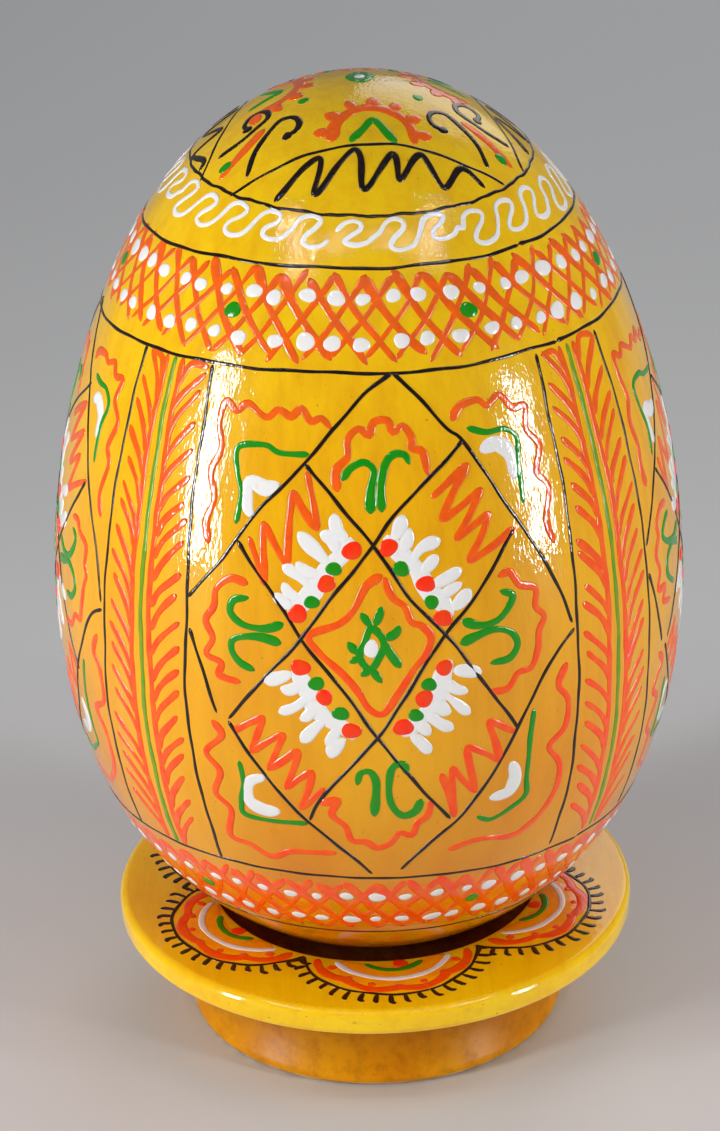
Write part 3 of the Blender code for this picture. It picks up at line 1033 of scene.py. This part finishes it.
GREEN_TENDRILS = (
    # two hooks that curl away from each other in the top cell, then in the bottom one
    ((0.4, 78.2), (0.6, 74.6), (1.2, 71.4), (-0.6, 70.0), (-3.2, 71.0), (-4.6, 73.0)),
    ((2.6, 78.0), (2.4, 74.4), (3.2, 70.6), (5.0, 69.0), (7.2, 69.2), (8.0, 70.8)),
    ((0.0, 130.8), (0.6, 127.0), (0.4, 123.6), (-0.6, 121.8), (-2.2, 122.2), (-2.6, 124.4)),
    ((8.2, 127.6), (7.4, 130.0), (5.2, 130.8), (3.2, 128.6), (2.6, 125.0), (3.2, 121.4),
     (5.2, 120.6), (5.8, 122.6)),
    # a pair in each side cell
    ((-15.0, 96.2), (-18.6, 97.4), (-22.6, 97.2), (-25.0, 95.4), (-24.4, 93.2), (-21.4, 92.6)),
    ((-15.4, 99.6), (-20.0, 98.9), (-24.0, 99.8), (-24.6, 101.8), (-23.0, 103.8), (-20.2, 104.8)),
    ((16.0, 96.4), (19.0, 97.6), (22.4, 97.2), (25.0, 95.4), (25.6, 93.6), (23.2, 92.4)),
    ((15.4, 100.0), (18.4, 99.4), (21.8, 98.8), (24.8, 99.8), (26.0, 102.0), (24.4, 104.2),
     (20.8, 104.4)),
)
SNOWFLAKE_RING = ((0.2, 96.6), (2.1, 98.6), (1.8, 100.8), (0.0, 103.4), (-1.9, 101.4), (-1.2, 99.0))
SNOWFLAKE_ARMS = (
    ((-1.5, 94.0), (0.2, 96.6)),
    ((2.1, 93.0), (0.8, 96.2)),
    ((5.0, 96.2), (4.4, 97.4), (2.4, 98.4)),
    ((5.0, 103.4), (3.3, 100.9), (2.2, 98.6)),
    ((1.7, 105.8), (0.0, 103.4)),
    ((-1.7, 104.6), (0.0, 103.4)),
    ((-3.9, 98.8), (-2.4, 100.8)),
    ((-3.5, 102.3), (-1.8, 101.5)),
)
WHITE_HOOKS = (
    ((-16.6, 73.8), (-19.2, 74.8), (-22.4, 74.2), (-22.6, 77.8), (-21.4, 79.6)),
    ((22.0, 69.9), (25.6, 69.2), (28.2, 71.0), (28.4, 75.4)),
    ((-17.0, 130.8), (-20.0, 130.8), (-22.6, 129.2), (-22.4, 125.6), (-19.2, 123.9)),
    ((25.0, 123.0), (26.0, 126.2), (24.8, 129.0), (21.2, 129.4)),
)
# Each comb: the two ends of its base, outside one edge of the centre cell, and the way its teeth point
COMBS = (
    ((-2.4, 82.4), (-13.4, 95.4), (-1.0, -0.85)),
    ((2.6, 82.2), (14.0, 95.6), (1.0, -0.85)),
    ((-13.4, 102.8), (-3.2, 115.8), (-1.0, 0.85)),
    ((14.0, 102.8), (5.0, 115.2), (1.0, 0.85)),
)
COMB_DOTS = (
    ((-3.0, 84.0), (-6.2, 86.9), (-7.6, 89.3), (-10.1, 92.4), (-12.6, 94.4)),
    ((3.6, 83.6), (5.6, 87.0), (9.9, 89.8), (10.8, 92.8), (12.6, 95.6)),
    ((-12.1, 103.4), (-9.3, 106.0), (-8.2, 108.4), (-5.3, 111.2), (-3.6, 114.2)),
    ((12.6, 104.0), (9.9, 106.6), (9.0, 109.0), (7.6, 111.8), (5.4, 113.8)),
)


class Panel:
    """Moves the motif's points onto one panel, to its axis and width, with a little of the hand in them."""

    def __init__(self, axis, half_width, unevenness):
        self.axis = axis
        self.stretch = half_width / MOTIF_HALF_WIDTH
        self.unevenness = unevenness

    def move(self, point):
        x = (point[0] - MOTIF_AXIS + dice.gauss(0, self.unevenness)) * self.stretch
        return (self.axis + x, point[1] + dice.gauss(0, self.unevenness) * 0.8)

    def moved(self, points):
        return [self.move(point) for point in points]


def comb(white, panel, base, teeth_way):
    """A white lace comb: a thick base, and short thick teeth that fan out from it."""
    (ax, ay), (bx, by) = base
    bow = 0.9
    middle = ((ax + bx) / 2 + teeth_way[0] * bow, (ay + by) / 2 + teeth_way[1] * bow)
    white.stroke(panel.moved([(ax, ay), middle, (bx, by)]), 3.2, 0.09, wobble=0.4)
    teeth = 7
    for k in range(teeth):
        share = (k + 0.5) / teeth
        fan = (share - 0.5) * 0.8 + dice.uniform(-0.28, 0.28)
        root = (ax + (bx - ax) * share + teeth_way[0] * 0.8, ay + (by - ay) * share + teeth_way[1] * 0.8)
        along = (bx - ax) / abs(bx - ax)
        way = (teeth_way[0] + along * fan, teeth_way[1] + fan * (by - ay) / abs(by - ay))
        reach = (2.9 if k % 2 else 5.0) * dice.uniform(0.78, 1.2)
        if k in (0, teeth - 1):
            reach *= 0.75
        end = (root[0] + way[0] * reach, root[1] + way[1] * reach)
        bend_x = (root[0] + end[0]) / 2 + dice.uniform(-0.7, 0.7)
        bend_y = (root[1] + end[1]) / 2 + dice.uniform(-0.7, 0.7)
        white.stroke(panel.moved([end, (bend_x, bend_y), root]), dice.uniform(1.3, 1.75), 0.11, blob=0.5)


def make_panels():
    """The front panel close to its drawing, and the other three a little looser."""
    for number, (axis, half_width) in enumerate(zip(PANEL_AXES, PANEL_HALF_WIDTHS), 1):
        make_panel(f"panel_{number}", Panel(axis, half_width, 0.05 if number == 1 else 0.28))


PANEL_PAINTS = {"orange": ORANGE, "black": BLACK, "green": GREEN, "white": WHITE, "red": RED}


def make_panel(name, panel):
    """One diamond panel, as one mesh for each colour."""
    paints = {}
    for colour, material in PANEL_PAINTS.items():
        paints[colour] = Paint(f"{name}_{colour}", EggSide, material)
    for points in ZIGZAGS:
        paints["orange"].legs(panel.moved(points), 1.35)
    for points in WAVY_LINES:
        paints["orange"].stroke(panel.moved(points), 1.3, wobble=0.06, blob=0.25)
    for points in DIAMOND_LINES:
        paints["black"].stroke(panel.moved(points), OUTLINE_WIDTH, 0.12, blob=0.35)
    for points in GREEN_BRACKETS:
        paints["green"].stroke(panel.moved(points), 1.05, 0.10)
    for points in GREEN_TENDRILS:
        paints["green"].stroke(panel.moved(points), 1.3, 0.11, blob=0.35)
    paints["green"].stroke(panel.moved(SNOWFLAKE_RING), 1.3, 0.10, closed=True, wobble=0.05)
    for points in SNOWFLAKE_ARMS:
        paints["green"].stroke(panel.moved(points), 1.4, 0.12, blob=0.15)
    paints["white"].dot(panel.move((0.1, 99.9)), 3.3, 0.16, stretch=0.72, turn=0.2)
    for points in WHITE_HOOKS:
        paints["white"].stroke(panel.moved(points), 2.2, 0.11, blob=0.2)
    for start, end, way in COMBS:
        comb(paints["white"], panel, (start, end), way)
    for points in COMB_DOTS:
        for k, point in enumerate(points):
            colour, size = ("green", 2.5) if k % 2 else ("red", 3.0)
            paints[colour].dot(panel.move(point), size * dice.uniform(0.92, 1.08), 0.22, stretch=1.05)
    for paint in paints.values():
        paint.build()


# ===== The plate's ring of half flowers =====
FLOWERS = 6
FIRST_FLOWER = 5.0  # azimuth in degrees
PETAL_ROOT = 25.5  # how far from the plate's centre the flowers' own centres lie
OUTLINE_REACH = 14.0
OUTLINE_HALF_WIDTH = 14.9
HOLE_MARGIN = PLATE_HOLE_RADIUS / MM + 0.9  # no stroke's middle comes nearer to the plate's centre
RIM_MARGIN = PLATE_RADIUS / MM - 1.6  # no hair's tip goes further from it


def petal(azimuth, half_width, reach, steps=24, span=90.0, lobes=0, lobe_depth=0.0):
    """Points on a half ellipse that bulges out from a flower's centre, clear of the plate's hole."""
    points = []
    for step in range(steps + 1):
        turn = math.radians(span * (2 * step / steps - 1))
        scallop = 1 + lobe_depth * (abs(math.sin(lobes * turn)) - 0.5)
        across = half_width * scallop * math.sin(turn)
        outwards = PETAL_ROOT + reach * scallop * math.cos(turn)
        if math.hypot(across, outwards) > HOLE_MARGIN:
            points.append((across, -outwards))
    return turned_points(points, azimuth)


def make_flowers():
    """Half flowers round the hole: a dot, arcs, scalloped petals, and one black outline with hairs."""
    amber = Paint("plate_amber_wash", PlateTop, AMBER)
    orange = Paint("plate_orange_petals", PlateTop, ORANGE)
    white = Paint("plate_white_arcs", PlateTop, WHITE)
    green = Paint("plate_green_arcs", PlateTop, GREEN)
    red = Paint("plate_red_dots", PlateTop, RED)
    black = Paint("plate_black_fringe", PlateTop, BLACK)
    for k in range(FLOWERS):
        outline_azimuth = FIRST_FLOWER + k * 360 / FLOWERS
        azimuth = outline_azimuth + dice.uniform(-1.0, 1.0)
        amber.stroke(petal(azimuth, 9.2, 8.6, span=80), 7.6, 0.03, wobble=0.0)
        red.dot(polar(azimuth + 2, 29.9), 2.6, 0.14)
        green.stroke(petal(azimuth, 6.2, 6.2), 1.3, 0.10)
        white.stroke(petal(azimuth, 10.0, 9.0), 1.2, 0.12)
        orange.stroke(petal(azimuth, 12.8, 12.2, 72, lobes=4, lobe_depth=0.08), 1.9, 0.08, wobble=0.08)
        for spoke in range(-3, 4):
            turn = math.radians(spoke * 22.5)
            ends = [
                (half_width * math.sin(turn), -PETAL_ROOT - reach * math.cos(turn))
                for half_width, reach in ((12.4, 12.0), (10.4, 10.6))
            ]
            if math.hypot(*ends[1]) > HOLE_MARGIN + 0.3:
                orange.stroke(turned_points(ends, azimuth), 1.7, 0.08, blob=0.3)
        edge = petal(outline_azimuth, OUTLINE_HALF_WIDTH, OUTLINE_REACH, 20)
        black.stroke(edge, 0.66, 0.11, wobble=0.15)
        fringe(black, polar(outline_azimuth, PETAL_ROOT), edge)
    for paint in (amber, orange, white, green, red, black):
        paint.build()


def fringe(black, centre, edge):
    """Hooked hairs that stand out from a flower's black outline."""
    hairs = smooth_path(edge, PlateTop.grain, False, 1.3)[1:-1:2]
    for x, y in hairs:
        out_x = x - centre[0]
        out_y = y - centre[1]
        length = math.hypot(out_x, out_y)
        out_x /= length
        out_y /= length
        reach = dice.uniform(2.2, 3.1)
        curl = dice.uniform(0.5, 1.1)
        tip = (x + out_x * reach * 0.9 - out_y * curl, y + out_y * reach * 0.9 + out_x * curl)
        bend = (x + out_x * reach * 0.75 - out_y * 0.1, y + out_y * reach * 0.75 + out_x * 0.1)
        if math.hypot(*tip) > RIM_MARGIN:
            share = RIM_MARGIN / math.hypot(*tip)
            tip = (tip[0] * share, tip[1] * share)
            bend = ((x + tip[0]) / 2, (y + tip[1]) / 2)
        black.stroke([tip, bend, (x, y)], 0.78, 0.10, wobble=0.02, blob=0.3, step=0.35)


# ===== Studio =====
EGG_AIM = (0.0, 0.0, EGG_BOTTOM + EGG_HEIGHT * 0.6)
CEILING = 0.98
WINDOW_LOW = 0.012


def area_light(name, place, aim, size_x, size_y, power, spread=180.0):
    """A rectangular lamp at a place, turned towards its aim. Lengths are metres, spread is degrees."""
    data = bpy.data.lights.new(name, "AREA")
    data.shape = "RECTANGLE"
    data.size = size_x
    data.size_y = size_y
    data.energy = power
    data.spread = math.radians(spread)
    lamp = bpy.data.objects.new(name, data)
    bpy.context.scene.collection.objects.link(lamp)
    lamp.location = place
    lamp.rotation_euler = (Vector(aim) - Vector(place)).to_track_quat("-Z", "Y").to_euler()


def window(name, x, y, width, height, power):
    """A tall narrow lamp that stands just above the floor and faces the egg's axis."""
    middle = WINDOW_LOW + height / 2
    area_light(name, (x, y, middle), (0.0, 0.0, middle), width, height, power, spread=75.0)


def ceiling_strip(name, x, y, width, depth, power):
    """A long thin lamp at ceiling height that runs front to back and is tipped in towards the egg."""
    area_light(name, (x, y, CEILING), (0.0, y, EGG_AIM[2]), width, depth, power)


def make_floor():
    """A large plain pale floor."""
    mesh = bpy.data.meshes.new("studio_floor")
    reach = 6.0
    corners = [(-reach, -reach, 0), (reach, -reach, 0), (reach, reach, 0), (-reach, reach, 0)]
    mesh.from_pydata(corners, [], [(0, 1, 2, 3)])
    floor = bpy.data.objects.new("studio_floor", mesh)
    bpy.context.scene.collection.objects.link(floor)
    paper = bpy.data.materials.new("studio_paper")
    paper.use_nodes = True
    shader = paper.node_tree.nodes["Principled BSDF"]
    shader.inputs["Base Color"].default_value = (0.74, 0.74, 0.74, 1.0)
    shader.inputs["Roughness"].default_value = 0.9
    mesh.materials.append(paper)


def make_studio():
    """A grey world, two windows and three ceiling strips that the lacquer mirrors, and a fill behind."""
    world = bpy.data.worlds.new("studio_world")
    world.use_nodes = True
    background = world.node_tree.nodes["Background"]
    background.inputs["Color"].default_value = (0.80, 0.82, 0.86, 1.0)
    background.inputs["Strength"].default_value = 0.19
    bpy.context.scene.world = world
    window("left_window", -0.566, -0.309, 0.086, 0.34, 0.74)
    window("right_window", 0.568, -0.303, 0.056, 0.28, 0.43)
    ceiling_strip("left_ceiling_strip", -0.53, -0.44, 0.46, 0.014, 1.5)
    ceiling_strip("right_ceiling_strip", 0.54, -0.38, 0.42, 0.014, 1.3)
    area_light("front_ceiling_bar", (0.0, -0.50, CEILING), EGG_AIM, 0.90, 0.008, 0.8)
    area_light("back_fill", (0.4, 1.1, 0.8), EGG_AIM, 0.8, 0.8, 3.0)


def make_camera():
    """A long lens in front of the egg, well above it, and rolled by about a degree."""
    data = bpy.data.cameras.new("camera")
    data.lens = 119.6
    data.sensor_width = 36.0
    data.clip_start = 0.01
    camera = bpy.data.objects.new("camera", data)
    bpy.context.scene.collection.objects.link(camera)
    egg_width = EGG_HIGH.x * 2
    egg_middle = EGG_BOTTOM + EGG_HEIGHT / 2
    place = Vector((0.0, -5.42 * egg_width, egg_middle + 2.532 * egg_width))
    aim = Vector((-0.0144 * egg_width, 0.0, egg_middle - 0.089 * egg_width))
    roll = math.radians(-1.18)
    camera.location = place
    camera.rotation_euler = (aim - place).to_track_quat("-Z", "Y").to_euler()
    camera.rotation_euler.rotate_axis("Z", roll)
    bpy.context.scene.camera = camera


make_turned_pieces()
make_cap()
make_circles()
make_meander()
make_lattice(
    "upper",
    LATTICE_TOP + 0.4,
    PANEL_TOP - 0.6,
    columns=50,
    line_width=1.12,
    dot_size=2.35,
    green_every=7,
)
make_lattice(
    "lower",
    PANEL_BOTTOM + 1.2,
    LOWER_LATTICE_BOTTOM - 0.4,
    columns=58,
    line_width=1.45,
    dot_size=2.1,
    green_every=8,
    wash=True,
)
make_ferns()
make_panels()
make_flowers()
make_camera()
make_floor()
make_studio()
bpy.context.scene.view_settings.view_transform = "Standard"
